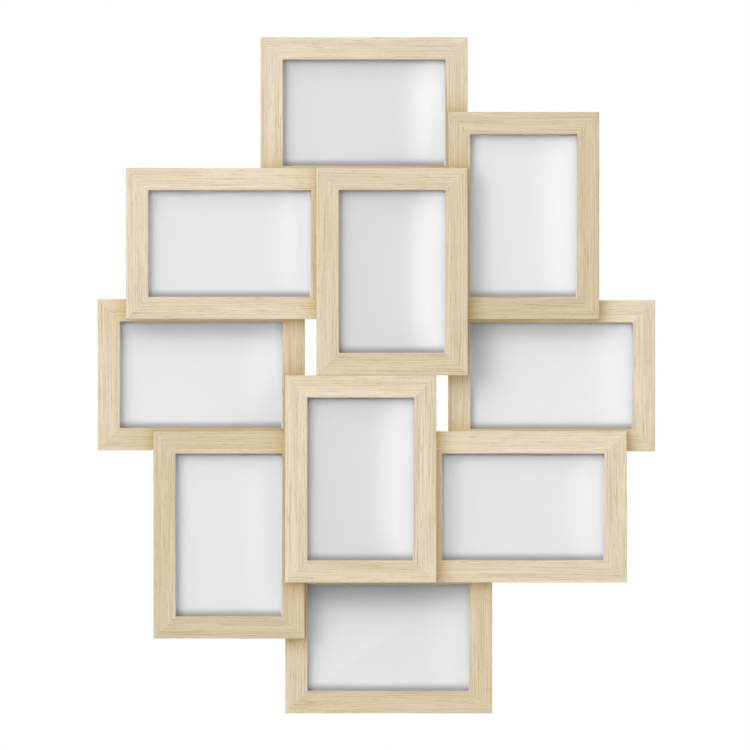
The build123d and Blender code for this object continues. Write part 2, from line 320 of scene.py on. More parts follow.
def add_values(mesh, label, domain, values):
    """Gives a mesh an attribute that holds a number or a row of three for each of its points or corners."""
    values = np.asarray(values, np.float32)
    kind, field = ("FLOAT_VECTOR", "vector") if values.ndim == 2 else ("FLOAT", "value")
    mesh.attributes.new(label, kind, domain).data.foreach_set(field, values.ravel())


def new_piece(name, mesh, material, body, slot, *stands_for):
    """Links a finished piece, dresses it, hides the CAD nodes that it stands for and hangs it on its body."""
    piece = bpy.data.objects.new(name, mesh)
    bpy.context.scene.collection.objects.link(piece)
    mesh.materials.clear()
    mesh.materials.append(material)
    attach(piece, body)
    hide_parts(*stands_for)


def dress(node, material):
    """Gives a CAD node that keeps its shape a better material."""
    for place in frame["nodes"][node].material_slots:
        place.material = material


def node_points(node):
    """All the points of a CAD node, in metres."""
    mesh = frame["nodes"][node].data
    points = np.empty(len(mesh.vertices) * 3, np.float32)
    mesh.vertices.foreach_get("co", points)
    return points.reshape(-1, 3).astype(float)


def places_at(node, y):
    """The different (x, z) at which a CAD node has a point at this depth."""
    points = node_points(node)
    found = points[np.abs(points[:, 1] - y) < SAME_PLACE][:, [0, 2]]
    return np.unique(np.round(found, DECIMALS), axis=0)


def stack(rings):
    """A closed solid from rings of points, one above the other: quads between them and a face at each end."""
    count, columns = rings.shape[:2]
    faces = closed_quads(count, columns)
    faces.append(list(range(columns)))
    faces.append(list(range((count - 1) * columns, count * columns)))
    return rings.reshape(-1, 3), faces


def prism(outline, near, far):
    """An outline in X and Z, carried along Y from one depth to another."""
    outline = np.asarray(outline)
    rings = [np.insert(outline, 1, depth, axis=1) for depth in (near, far)]
    return stack(np.array(rings))


def circle(count, start=0.0, sweep=2 * math.pi, closed=False):
    """Unit (x, z) steps round an arc. The end is left out unless the arc is to be closed."""
    angle = start + sweep * np.linspace(0, 1, count, endpoint=closed)
    return np.stack([np.cos(angle), np.sin(angle)], axis=1)


def joined(solids):
    """One list of points and one of faces for several solids."""
    points, faces, first = [], [], 0
    for solid_points, solid_faces in solids:
        points.append(np.asarray(solid_points))
        faces += [[first + number for number in face] for face in solid_faces]
        first += len(solid_points)
    return np.concatenate(points), faces


def cut(mesh, cutters):
    """The mesh less the cutters, which are closed solids clear of each other."""
    blank = bpy.data.objects.new("blank", mesh)
    tool = bpy.data.objects.new("tool", new_mesh("tool", *joined(cutters)))
    for item in (blank, tool):
        bpy.context.scene.collection.objects.link(item)
    modifier = blank.modifiers.new("cut", "BOOLEAN")
    modifier.operation = "DIFFERENCE"
    modifier.solver = "EXACT"
    modifier.object = tool
    graph = bpy.context.evaluated_depsgraph_get()
    result = bpy.data.meshes.new_from_object(blank.evaluated_get(graph), depsgraph=graph)
    for item in (blank, tool):
        bpy.data.objects.remove(item)
    return result


# Materials

# The patterns of the wood are noise. Each has the length and width of its blots in metres, its detail, its
# roughness and a shift that keeps it apart from the others.
BANDS = (0.20, 0.0060, 3.0, 0.6, 0.0)
LINES = (0.070, 0.00065, 2.0, 0.6, 3.0)
DASHES = (0.020, 0.00060, 1.0, 0.6, 7.0)
FIBRES = (0.012, 0.00035, 2.0, 0.5, 11.0)
PORES = (0.0045, 0.00016, 1.0, 0.5, 19.0)
SWAY = (0.12, 0.010, 1.0, 0.5, 13.0)
SAW_MARKS = (0.0012, 0.03, 2.0, 0.5, 17.0)

# The levels of noise at which a pattern starts to mark the foil and marks it fully, and how strongly
BAND_MARK = (0.40, 0.70, 0.22)
LINE_MARK = (0.50, 0.66, 0.50)
DASH_MARK = (0.63, 0.70, 0.80)
PORE_MARK = (0.60, 0.68, 1.0)

# The same levels for where there are pores and ribs at all
PORE_AREA = (0.42, 0.62)
RIB_AREA = (0.35, 0.70)

# How strongly the ribs mark the foil, and how many ribs wide they sway
RIB_STRENGTH = 0.17
RIB_SWAY = 3.0

# How deep the relief of each finish is, in metres
WOOD_RELIEF = 0.000016
PAPER_RELIEF = 0.00001
BOARD_RELIEF = 0.00006
METAL_RELIEF = 0.00001
RUBBER_RELIEF = 0.00003

# Distance between the threads of the screen that the boards were pressed on
WEAVE_PITCH = 0.0016

# The colour of the glass
GLASS_TINT = (0.995, 0.997, 0.996)

# How rough the foil, the bare wood and the boards are, and how much streaks and fibres add to it
FOIL_ROUGHNESS = 0.40
STREAK_ROUGHNESS = 0.20
BARE_ROUGHNESS = 0.72
FIBRE_ROUGHNESS = 0.12
BOARD_ROUGHNESS = 0.55

# What the grain of bare wood, the fibres of a board, dull spots on metal, dust in rubber and clouds on the
# floor multiply their colour by
GRAIN_SHADE = 0.72
FIBRE_SHADE = 0.55
DULL_SHADE = 0.78
DUST_SHADE = 2.2
FLOOR_SHADE = 0.985


class Look:
    """The nodes of a material or a world, with short ways to add them and join them up."""

    def __init__(self, name, group="materials", output="OutputMaterial"):
        self.owner = getattr(bpy.data, group).new(name)
        self.owner.use_nodes = True
        self.tree = self.owner.node_tree
        self.tree.nodes.clear()
        self.output = self.tree.nodes.new("ShaderNode" + output)

    def add(self, kind, inputs, **settings):
        """A node of this kind, with its settings, and its inputs set or linked."""
        node = self.tree.nodes.new("ShaderNode" + kind)
        for setting, value in settings.items():
            setattr(node, setting, value)
        for name, value in inputs.items():
            if isinstance(value, bpy.types.NodeSocket):
                self.tree.links.new(value, node.inputs[name])
            else:
                node.inputs[name].default_value = value
        return node

    def math(self, operation, *values):
        """A Math node's result."""
        return self.add("Math", dict(enumerate(values)), operation=operation).outputs[0]

    def plus(self, first, second):
        """Two numbers added."""
        return self.math("ADD", first, second)

    def times(self, first, second):
        """Two numbers multiplied."""
        return self.math("MULTIPLY", first, second)

    def mix(self, amount, first, second):
        """Two numbers mixed by an amount."""
        return self.add("Mix", {0: amount, 2: first, 3: second}).outputs[0]

    def blend(self, amount, first, second, kind="MIX"):
        """Two colours mixed by an amount. The sockets for colours are the node's seventh and eighth."""
        inputs = {0: amount, 6: first, 7: second}
        return self.add("Mix", inputs, data_type="RGBA", blend_type=kind).outputs[2]

    def attribute(self, name, output="Fac"):
        """What an attribute of the mesh holds, as a number or a Vector."""
        return self.add("Attribute", {}, attribute_name=name).outputs[output]

    def object_place(self):
        """Where a point is on the object, in metres."""
        return self.add("TexCoord", {}).outputs["Object"]

    def noise(self, place, size, detail=2.0, roughness=0.5, shift=0.0):
        """Noise whose blots have this size, (x, y, z), in metres."""
        scale = tuple(1 / step for step in size)
        mapped = self.add("Mapping", {"Vector": place, "Scale": scale, "Location": (shift, shift, shift)})
        inputs = {"Vector": mapped.outputs[0], "Scale": 1.0, "Detail": detail, "Roughness": roughness}
        return self.add("TexNoise", inputs).outputs[0]

    def ramp(self, amount, low, high, kind="LINEAR"):
        """An amount from low to high, brought to nought to one."""
        inputs = {"Value": amount, "From Min": low, "From Max": high}
        return self.add("MapRange", inputs, interpolation_type=kind).outputs[0]

    def bump(self, height, depth):
        """A surface raised by a height of nought to one, this deep in metres."""
        return self.add("Bump", {"Height": height, "Distance": depth, "Strength": 1.0}).outputs[0]

    def end(self, surface):
        """Joins a surface up to the output."""
        self.tree.links.new(surface, self.output.inputs["Surface"])
        return self.owner

    def finish(self, **inputs):
        """Ends in one Principled shader, whose inputs are named with underscores for spaces."""
        named = {name.replace("_", " "): value for name, value in inputs.items()}
        return self.end(self.add("BsdfPrincipled", named).outputs[0])


def opaque(rgb, scale=1.0):
    """A colour, multiplied by a number, with its alpha."""
    return (*(scale * value for value in rgb), 1.0)


def grain_noise(look, place, pattern):
    """Noise in one of the wood's patterns."""
    along, across, detail, roughness, shift = pattern
    return look.noise(place, (along, across, 1), detail, roughness, shift)


def marks(look, pattern, levels):
    """How much a pattern marks the foil."""
    low, high, strength = levels
    return look.times(look.ramp(pattern, low, high), strength)


def wood_look(settings):
    """Foil with fine straight grain along each rail, and bare wood where the foil ends.

    The grain map runs along the rail in X and round its section in Y, in metres. Lines, dashes, pores, ribs
    and bands mark the foil with the colour of its lines. It is then multiplied by one plus the rail's tone,
    and beside a frame in front by the lap tint, which is painted shade where that frame's shade falls.
    """
    look = Look("foil_wrapped_wood")
    place = look.add("UVMap", {}, uv_map=GRAIN_MAP).outputs[0]
    bands = grain_noise(look, place, BANDS)
    lines = grain_noise(look, place, LINES)
    fibres = grain_noise(look, place, FIBRES)
    sway = grain_noise(look, place, SWAY)
    _, across, _ = look.add("SeparateXYZ", {0: place}).outputs
    turns = look.plus(look.math("DIVIDE", across, settings.rib_pitch), look.times(sway, RIB_SWAY))
    ribs = look.math("SINE", look.times(turns, 2 * math.pi))

    line_amount = marks(look, lines, LINE_MARK)
    dash_amount = marks(look, grain_noise(look, place, DASHES), DASH_MARK)
    pore_amount = marks(look, grain_noise(look, place, PORES), PORE_MARK)
    pore_amount = look.times(pore_amount, look.ramp(lines, *PORE_AREA))
    streaks = look.math("MAXIMUM", look.math("MAXIMUM", line_amount, dash_amount), pore_amount)
    rib_amount = look.times(look.plus(ribs, 1.0), look.ramp(sway, *RIB_AREA))
    amount = look.plus(streaks, look.times(rib_amount, RIB_STRENGTH))
    amount = look.plus(amount, marks(look, bands, BAND_MARK))
    tinted = look.blend(1.0, opaque(settings.foil), opaque(settings.foil_line), kind="MULTIPLY")
    foil = look.blend(amount, opaque(settings.foil), tinted)

    tones = look.add("VectorMath", {0: TONE_BY_COLOUR, "Scale": look.attribute(TONE)}, operation="SCALE")
    lightness = look.add("VectorMath", {0: tones.outputs[0], 1: (1.0, 1.0, 1.0)}, operation="ADD")
    foil = look.add("VectorMath", {0: foil, 1: lightness.outputs[0]}, operation="MULTIPLY").outputs[0]
    # Painted shade beside a frame in front, where that frame's shade falls
    beside = look.blend(1.0, foil, opaque(settings.lap_shade_tint), kind="MULTIPLY")
    foil = look.blend(look.attribute(LAP_SHADE), foil, beside)

    bare_amount = look.plus(look.times(fibres, 0.5), look.times(bands, 0.5))
    grained = opaque(settings.core, GRAIN_SHADE)
    bare = look.blend(look.ramp(bare_amount, 0.35, 0.65), opaque(settings.core), grained)

    wrapped = look.attribute(FOIL)
    foil_rough = look.plus(look.times(streaks, STREAK_ROUGHNESS), FOIL_ROUGHNESS)
    bare_rough = look.plus(look.times(fibres, FIBRE_ROUGHNESS), BARE_ROUGHNESS)
    pressed = look.plus(look.times(streaks, -1.0), look.times(ribs, 0.12))
    foil_height = look.plus(pressed, look.times(fibres, 0.3))
    bare_height = look.plus(look.times(fibres, 1.2), grain_noise(look, place, SAW_MARKS))
    return look.finish(
        Base_Color=look.blend(wrapped, bare, foil),
        Roughness=look.mix(wrapped, bare_rough, foil_rough),
        Normal=look.bump(look.mix(wrapped, bare_height, foil_height), WOOD_RELIEF),
        IOR=1.45,
    )


def card_look(settings):
    """Grey print on white card that shows beside the print, with a painted highlight along its right side.

    The print place holds how far a point is from the window's left and lower edges, and the window's width
    and height go with it. The painted highlight stands in for a reflection. It starts later towards the top
    and bottom, by the highlight bend times the fourth power of the distance from the middle. Painted shade
    darkens the print at its foot, and painted light lightens it at its other edges, which makes up
    for a part of the lip's shade.
    """
    look = Look("grey_paper")
    across, up, _ = look.add("SeparateXYZ", {0: look.attribute(PRINT, "Vector")}).outputs
    width, height, _ = look.add("SeparateXYZ", {0: look.attribute(WINDOW, "Vector")}).outputs
    from_right = look.math("SUBTRACT", look.math("SUBTRACT", width, across), settings.side_margin)
    from_top = look.math("SUBTRACT", height, up)
    half_height = look.times(height, 0.5)
    from_middle = look.math("DIVIDE", look.math("SUBTRACT", up, half_height), half_height)
    bend = look.times(look.math("POWER", look.math("ABSOLUTE", from_middle), 4.0), settings.highlight_bend)
    reach = look.plus(from_right, bend)
    # Painted highlight along the right side, which stands in for a reflection
    painted_highlight = look.ramp(reach, settings.highlight_start, settings.highlight_full, kind="SMOOTHSTEP")

    print_grey = look.times(look.plus(look.attribute(TONE), 1.0), settings.grey)
    grey = look.mix(painted_highlight, print_grey, settings.painted_highlight)
    # Painted shade at the foot, and painted light at the other edges against a part of the lip's shade
    for distance, depth, part in (
        (up, settings.foot_depth, settings.foot_shade),
        (across, settings.painted_light_depth, settings.left_painted_light),
        (from_right, settings.painted_light_depth, settings.right_painted_light),
        (from_top, settings.painted_light_depth, settings.top_painted_light),
    ):
        clear = look.ramp(distance, 0.0, depth, kind="SMOOTHSTEP")
        grey = look.times(grey, look.mix(clear, part, 1.0))
    value = look.mix(look.math("GREATER_THAN", from_right, 0.0), settings.white, grey)
    shade = look.add("CombineColor", {"Red": value, "Green": value, "Blue": value}).outputs[0]
    tooth = look.noise(look.object_place(), (0.0006, 0.0006, 0.0006), detail=3.0)
    rough = look.plus(look.times(tooth, 0.1), 0.5)
    return look.finish(Base_Color=shade, Roughness=rough, Normal=look.bump(tooth, PAPER_RELIEF))


def glass_look():
    """Clear polished glass, with a faint green in its colour, that lets the lamps through."""
    look = Look("clear_glass")
    tint = opaque(GLASS_TINT)
    inputs = {"Base Color": tint, "Roughness": 0.0, "IOR": 1.5, "Transmission Weight": 1.0}
    glass = look.add("BsdfPrincipled", inputs).outputs[0]
    clear = look.add("BsdfTransparent", {"Color": tint}).outputs[0]
    is_shadow = look.add("LightPath", {}).outputs["Is Shadow Ray"]
    return look.end(look.add("MixShader", {0: is_shadow, 1: glass, 2: clear}).outputs[0])


def board_look(settings):
    """Brown hardboard: pressed fibres and the weave of the screen that it was pressed on."""
    look = Look("hardboard")
    where = look.object_place()
    clouds = look.noise(where, (0.016, 0.016, 0.016), detail=5.0, roughness=0.65)
    flecks = look.noise(where, (0.0030, 0.0030, 0.0007), detail=3.0, roughness=0.7, shift=5.0)
    more = look.noise(where, (0.0007, 0.0030, 0.0030), detail=3.0, roughness=0.7, shift=9.0)
    fibres = look.math("MAXIMUM", flecks, more)
    body = look.blend(look.ramp(clouds, 0.35, 0.70), opaque(settings.board), opaque(settings.board_light))
    dark = opaque(settings.board, FIBRE_SHADE)
    base = look.blend(look.times(look.ramp(fibres, 0.55, 0.72), 0.55), body, dark)
    x, _, z = look.add("SeparateXYZ", {0: where}).outputs
    warp, weft = (look.math("SINE", look.times(way, 2 * math.pi / WEAVE_PITCH)) for way in (x, z))
    screen = look.times(look.plus(warp, weft), 0.25)
    height = look.plus(screen, look.times(fibres, 0.8))
    rough = look.plus(look.times(clouds, 0.15), BOARD_ROUGHNESS)
    return look.finish(Base_Color=base, Roughness=rough, Normal=look.bump(height, BOARD_RELIEF))


def metal_look(name, rgb, roughness, spot):
    """Plated or drawn metal whose sheen changes over spots of this size in metres, with fine scratches."""
    look = Look(name)
    where = look.object_place()
    spots = look.noise(where, (spot, spot, spot), detail=3.0)
    scratches = look.noise(where, (0.004, 0.004, 0.00012), detail=2.0, shift=4.0)
    base = look.blend(look.ramp(spots, 0.35, 0.70), opaque(rgb), opaque(rgb, DULL_SHADE))
    change = 0.22
    rough = look.plus(look.times(spots, change), roughness - change / 2)
    height = look.plus(look.times(scratches, 0.5), spots)
    return look.finish(Base_Color=base, Roughness=rough, Normal=look.bump(height, METAL_RELIEF), Metallic=1.0)


def rubber_look(rgb):
    """Matt black rubber with a fine moulded texture and paler dust in it."""
    look = Look("black_rubber")
    where = look.object_place()
    grit = look.noise(where, (0.0004, 0.0004, 0.0004), detail=3.0)
    dust = look.noise(where, (0.003, 0.003, 0.003), detail=3.0, shift=2.0)
    base = look.blend(look.ramp(dust, 0.45, 0.75), opaque(rgb), opaque(rgb, DUST_SHADE))
    rough = look.plus(look.times(grit, 0.2), 0.6)
    return look.finish(Base_Color=base, Roughness=rough, Normal=look.bump(grit, RUBBER_RELIEF))


def floor_look(rgb):
    """A pale matt floor with hardly any pattern."""
    look = Look("floor")
    clouds = look.noise(look.object_place(), (0.4, 0.4, 0.4), detail=3.0)
    base = look.blend(clouds, opaque(rgb), opaque(rgb, FLOOR_SHADE))
    return look.finish(Base_Color=base, Roughness=0.9)


# Shapes


def moulding_profile(settings, front, lip_back, back):
    """The section of a rail as a closed loop of (inset, depth), and which stretches are foil or rounded.

    Inset runs inwards from the outer edge and depth along Y. The loop goes forwards up the outer side, over
    the front, back down the window side, under the lip, back up the pocket's wall and over the back. Each
    front edge is a quarter circle: the cosine and sine of an angle from nought to a right angle.
    """
    width, radius, ease = settings.width, settings.edge_radius, settings.back_easing
    pocket = width - settings.lip_width
    turn = np.linspace(0, math.pi / 2, EDGE_POINTS)
    across = np.linspace(radius, width - radius, settings.strips + 1)[1:-1]
    face = np.stack([across, np.full(len(across), front)], axis=1)
    outer = np.stack([radius - radius * np.cos(turn), front + radius - radius * np.sin(turn)], axis=1)
    inner = np.stack([width - radius + radius * np.sin(turn), front + radius - radius * np.cos(turn)], axis=1)
    side = [(0, back - ease)]
    lip = [(width, lip_back - ease), (width - ease, lip_back), (pocket, lip_back)]
    rear = [(pocket, back - ease), (pocket - ease, back), (settings.foil_lap, back), (ease, back)]
    points = np.concatenate([side, outer, face, inner, lip, rear])
    outer_end = 1 + len(outer)
    inner_start = outer_end + len(face)
    inner_end = inner_start + len(inner)
    rounded = np.zeros(len(points), bool)
    rounded[1 : outer_end - 1] = True
    rounded[inner_start : inner_end - 1] = True
    # The pocket's wall, its eased edge and the back up to the foil's end are bare
    foil = np.ones(len(points), bool)
    foil[inner_end + 2 : inner_end + 5] = False
    return points, foil, rounded


def lap_shade_amount(name, points, low, high, reach):
    """How much painted shade a frame in front gives each point, from nought to one.

    The distance is measured in X and Z to the rectangle of the frame in front, and the amount is e to the
    power of minus the distance over the reach, times the share of the depth that is left behind the point.
    """
    amount = np.zeros(len(points))
    for other in FRAMES:
        other_low, other_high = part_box(other + RAILS)
        if other == name or other_low.y > low.y - SAME_PLACE:
            continue
        if other_low.x > high.x or other_high.x < low.x or other_low.z > high.z or other_high.z < low.z:
            continue
        out_x = np.maximum(other_low.x - points[:, 0], points[:, 0] - other_high.x).clip(0)
        out_z = np.maximum(other_low.z - points[:, 2], points[:, 2] - other_high.z).clip(0)
        amount = np.maximum(amount, np.exp(-np.hypot(out_x, out_z) / reach))
    return amount * (high.y - points[:, 1]) / (high.y - low.y)


def moulding_mesh(name, settings, low, high, lip_back, random):
    """A rail's section carried round the frame: at each corner a point of the section lies on the mitre.

    Along a side, a point with a given inset runs straight between the two corners of the rectangle that is
    smaller than the frame by that inset. The grain map gives each rail its own place in the grain. The
    corners hold what is foil, the rail's tone and how much painted shade a frame in front casts there.
    """
    section, foil, rounded = moulding_profile(settings, low.y, lip_back, high.y)
    inset, depth = section.T
    steps, count = settings.steps, len(section)
    corner = np.array([(-1, -1), (1, -1), (1, 1), (-1, 1), (-1, -1)])
    x = (low.x + high.x) / 2 + corner[:, :1] * ((high.x - low.x) / 2 - inset)
    z = (low.z + high.z) / 2 + corner[:, 1:] * ((high.z - low.z) / 2 - inset)
    part = np.linspace(0, 1, steps + 1)[None, :, None]
    side_x = x[:-1, None] + (x[1:, None] - x[:-1, None]) * part
    side_z = z[:-1, None] + (z[1:, None] - z[:-1, None]) * part
    side_y = np.broadcast_to(depth, side_x.shape)
    points = np.stack([side_x, side_y, side_z], axis=-1)[:, :-1].reshape(-1, 3)

    number = (np.arange(4)[:, None] * steps + np.arange(steps + 1)) % (4 * steps)
    index = number[:, :, None] * count + np.arange(count + 1) % count
    quads = np.concatenate([grid_quads(side) for side in index])

    round_section = np.append(0, np.cumsum(np.hypot(*np.diff(np.append(section, section[:1], axis=0).T))))
    along = np.stack([side_x[0], side_z[1], side_x[2], side_z[3]])
    along = np.append(along, along[:, :, :1], axis=2) + random.uniform(0, GRAIN_LENGTH, (4, 1, 1))
    across = round_section + random.uniform(0, GRAIN_WIDTH, (4, 1, 1)) + 0 * along
    grain = np.stack([along, across], axis=-1)
    loops = np.stack([grain[:, :-1, :-1], grain[:, :-1, 1:], grain[:, 1:, 1:], grain[:, 1:, :-1]], axis=3)

    mesh = bpy.data.meshes.new(name)
    mesh.from_pydata(points.tolist(), [], quads.tolist())
    mesh.uv_layers.new(name=GRAIN_MAP).data.foreach_set("uv", loops.ravel())
    tones = WOOD_TONE.get(name, 0.0) + np.array(SIDE_TONE) + random.uniform(-CHANCE_TONE, CHANCE_TONE, 4)
    lap_shade = lap_shade_amount(name, points, low, high, settings.lap_shade_reach)
    add_values(mesh, FOIL, "CORNER", np.repeat(np.tile(foil, 4 * steps), 4))
    add_values(mesh, TONE, "CORNER", np.repeat(tones, 4 * steps * count))
    add_values(mesh, LAP_SHADE, "CORNER", lap_shade[quads].ravel())
    mesh.polygons.foreach_set("use_smooth", np.tile(rounded, 4 * steps))
    return mesh


def nail_slots(settings, low, high):
    """An L-shaped slot across the back of each mitre, a hair wider than the nail that fills it."""
    gap = settings.fit_gap
    reach, thick = settings.nail_leg + gap, settings.nail_thickness + gap
    bend = (settings.width - settings.lip_width) / 2
    lower_leg = [(-gap, -gap), (reach, -gap), (reach, thick)]
    upright_leg = [(thick, thick), (thick, reach), (-gap, reach)]
    outline = np.array(lower_leg + upright_leg)
    over = settings.edge_radius
    slots = []
    for x, z, way_x, way_z in (
        (low.x, low.z, 1, 1),
        (high.x, low.z, -1, 1),
        (high.x, high.z, -1, -1),
        (low.x, high.z, 1, -1),
    ):
        placed = (outline + bend) * (way_x, way_z) + (x, z)
        slots.append(prism(placed, high.y + over, high.y - settings.nail_length))
    return slots


def countersinks(settings, fittings, places, back):
    """A cone under each screw head, open to the back."""
    gap = settings.fit_gap
    rise = settings.edge_radius
    levels = [
        (fittings.flat_radius + gap, back + rise),
        (fittings.flat_radius + gap, back),
        (fittings.thick_shank + gap, back - fittings.flat_depth),
    ]
    ring = circle(SINK_POINTS)
    sinks = []
    for place in places:
        rings = [np.insert(place + radius * ring, 1, depth, axis=1) for radius, depth in levels]
        sinks.append(stack(np.array(rings)))
    return sinks


def keyhole_pockets(settings, fittings, back):
    """A rounded pocket behind each keyhole, for the head of the wall screw."""
    pockets = []
    for mount in frame["record"]["mounts"]:
        if not mount["name"].startswith("keyhole"):
            continue
        x, _, z = mount["pos_m"]
        lower = circle(KEYHOLE_POINTS, math.pi, math.pi, closed=True) * fittings.keyhole_radius
        upper = circle(KEYHOLE_POINTS, 0, math.pi, closed=True) * fittings.keyhole_radius
        outline = np.concatenate([lower + (x, z), upper + (x, z + fittings.keyhole_rise)])
        pockets.append(prism(outline, back + settings.edge_radius, back - fittings.keyhole_depth))
    return pockets


def joining_places(fittings, low, high):
    """Where joining screws are sunk into this frame's back, from the tips of the screws in the frame."""
    tips = places_at("joining_screws", high.y - fittings.joining_length)
    inside = np.all((tips > (low.x, low.z)) & (tips < (high.x, high.z)), axis=1)
    return tips[inside]


def button_mesh(name, settings, pivot, box):
    """A flat turn button: rings of points from its hole, over its edge and back to the hole.

    Its outline is round a hub and a smaller nose and straight between. A point of the outline lies one
    radius from the hub's or the nose's middle along its normal, and an eased edge is the same outline with
    both radii smaller.
    """
    low, high = box
    middle = (low + high) / 2
    reach = max(high.x - low.x, high.z - low.z)
    nose_way = math.atan2(round(middle.z - pivot.z, DECIMALS), round(middle.x - pivot.x, DECIMALS))
    hub, nose = settings.button_hub, settings.button_nose
    distance = reach - hub - nose
    bend = math.acos((hub - nose) / distance)
    round_nose = np.linspace(-bend, bend, NOSE_POINTS)
    round_hub = np.linspace(bend, 2 * math.pi - bend, HUB_POINTS)
    normal = np.concatenate([round_nose, round_hub])
    on_nose = np.arange(len(normal)) < NOSE_POINTS
    facing = np.stack([np.cos(normal), np.sin(normal)], axis=1)
    middles = np.stack([np.where(on_nose, distance, 0), np.zeros(len(normal))], axis=1)
    radii = np.where(on_nose, nose, hub)[:, None]

    def outline(smaller):
        return middles + facing * (radii - smaller)

    from_hub = outline(0)
    hole = settings.button_hole * from_hub / np.linalg.norm(from_hub, axis=1, keepdims=True)
    ease = settings.button_easing
    turn = np.linspace(0, math.pi / 2, EASING_POINTS)
    rings, depths = [hole], [high.y]
    for angle in turn:
        rings.append(outline(ease * (1 - math.sin(angle))))
        depths.append(high.y - ease * (1 - math.cos(angle)))
    for angle in turn[::-1]:
        rings.append(outline(ease * (1 - math.sin(angle))))
        depths.append(low.y + ease * (1 - math.cos(angle)))
    rings.append(hole)
    depths.append(low.y)
    flat = np.array(rings)
    cosine, sine = math.cos(nose_way), math.sin(nose_way)
    x = pivot.x + cosine * flat[..., 0] - sine * flat[..., 1]
    z = pivot.z + sine * flat[..., 0] + cosine * flat[..., 1]
    y = np.broadcast_to(np.array(depths)[:, None], x.shape)
    points = np.stack([x, y, z], axis=-1)
    faces = closed_quads(len(rings), len(normal), close_rows=True)
    return new_mesh(name, points, faces, smooth=True)


def screw_rings(settings, head_rows, shank_rows):
    """The points of a screw on the Y axis, as rings from the middle of its head to its tip.

    The rows give (radius, y). Over the head the columns follow the arms of the cross: each quarter turn has
    columns at an arm's middle, at both its edges and just past them, and the angle of an edge is the arcsine
    of half the arm's width over the radius. A point inside the cross is lowered, more so near the middle.
    """
    rows = np.array(head_rows + shank_rows)
    radius, height = rows.T
    wide, arm = settings.cross_width, settings.cross_arm
    eighth = math.pi / 4
    at_least = np.maximum(radius, wide)[:, None]
    edge = np.arcsin(np.minimum(wide / at_least, MOST_EDGE))
    past = edge + np.minimum(CROSS_WALL / at_least, MOST_WALL)
    between = (past + eighth) / 2
    corner = np.full_like(edge, eighth)
    local = np.concatenate([-between, -past, -edge, 0 * edge, edge, past, between, corner], axis=1)
    angle = local[:, None, :] + (2 * eighth * np.arange(4))[None, :, None]
    angle = angle.reshape(len(rows), -1)
    in_arm = np.tile([False, False, True, True, True, False, False, False], 4)[None, :]
    in_cross = (in_arm & (radius <= arm)[:, None]) | (radius < wide * math.sqrt(2))[:, None]
    in_head = (np.arange(len(rows)) < len(head_rows))[:, None]
    depth = settings.cross_depth * (1 - 0.5 * radius / arm)
    y = height[:, None] - np.where(in_cross & in_head, depth[:, None], 0)
    return np.stack([radius[:, None] * np.cos(angle), y, radius[:, None] * np.sin(angle)], axis=-1)


def head_radii(settings, outer):
    """Radii over a head: over its cross, and halfway from there to this outer radius."""
    arm = settings.cross_arm
    return [part * arm for part in CROSS_ROWS] + [(arm + outer) / 2]


def pan_screw(settings, shank_length):
    """A pan-head screw seated on y = 0: a low dome whose rim is a quarter ellipse, then side and shank."""
    radius, height, side = settings.pan_radius, settings.pan_height, settings.pan_side
    rim = 0.7 * radius
    crown = 0.92 * height
    rows = [(r, height - (height - crown) * (r / rim) ** 2) for r in head_radii(settings, rim)]
    for angle in np.linspace(0, math.pi / 2, RIM_POINTS):
        rows.append((rim + (radius - rim) * math.sin(angle), side + (crown - side) * math.cos(angle)))
    shank = settings.thin_shank
    under = [(radius, 0), (shank, 0), (shank, 2 * shank - shank_length), (0, -shank_length)]
    return screw_rings(settings, rows, under)


def flat_screw(settings):
    """A countersunk screw whose head is flush with y = 0."""
    shank, total = settings.thick_shank, settings.joining_length
    rows = [(r, 0) for r in head_radii(settings, settings.flat_radius)]
    rows.append((settings.flat_radius, 0))
    under = [(shank, -settings.flat_depth), (shank, 2 * shank - total), (0, -total)]
    return screw_rings(settings, rows, under)


def lathed_group(name, rings, places):
    """One mesh of a turned piece at each place (x, y, z)."""
    faces = closed_quads(*rings.shape[:2])
    return new_mesh(name, *joined([(rings.reshape(-1, 3) + place, faces) for place in places]), smooth=True)


def bumper_rings(height, radius):
    """A low rubber dome that stands on y = 0: its section is a quarter of a rounded square."""
    angle = np.linspace(0, math.pi / 2, DOME_POINTS)
    soft = 0.45
    section = [(0, 0), (radius, 0)]
    section += [(radius * math.cos(a) ** soft, height * math.sin(a) ** soft) for a in angle[1:-1]]
    section.append((0, height))
    ring = circle(BUMPER_POINTS)
    return np.array([np.insert(r * ring, 1, y, axis=1) for r, y in section])


def random_for(name):
    """The same random numbers each time for a piece of this name."""
    return np.random.default_rng(sum((place + 1) * ord(letter) for place, letter in enumerate(name)))


# Operators


class COLLAGE_OT_mouldings(bpy.types.Operator):
    """Make each frame's moulding, with the slots, countersinks and pockets in its back"""

    bl_idname = "collage.make_mouldings"
    bl_label = "Make mouldings"

    def execute(self, context):
        settings = context.scene.collage_mouldings
        fittings = context.scene.collage_fittings
        wood = wood_look(settings)
        for name in FRAMES:
            low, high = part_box(name + RAILS)
            lip_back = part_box(name + "_glass")[0].y
            blank = moulding_mesh(name, settings, low, high, lip_back, random_for(name))
            cutters = nail_slots(settings, low, high)
            cutters += countersinks(settings, fittings, joining_places(fittings, low, high), high.y)
            if name == "top":
                cutters += keyhole_pockets(settings, fittings, high.y)
            mesh = cut(blank, cutters)
            new_piece(name + "_moulding", mesh, wood, BASE, "foil_wrapped_wood", name + RAILS)
        return {"FINISHED"}


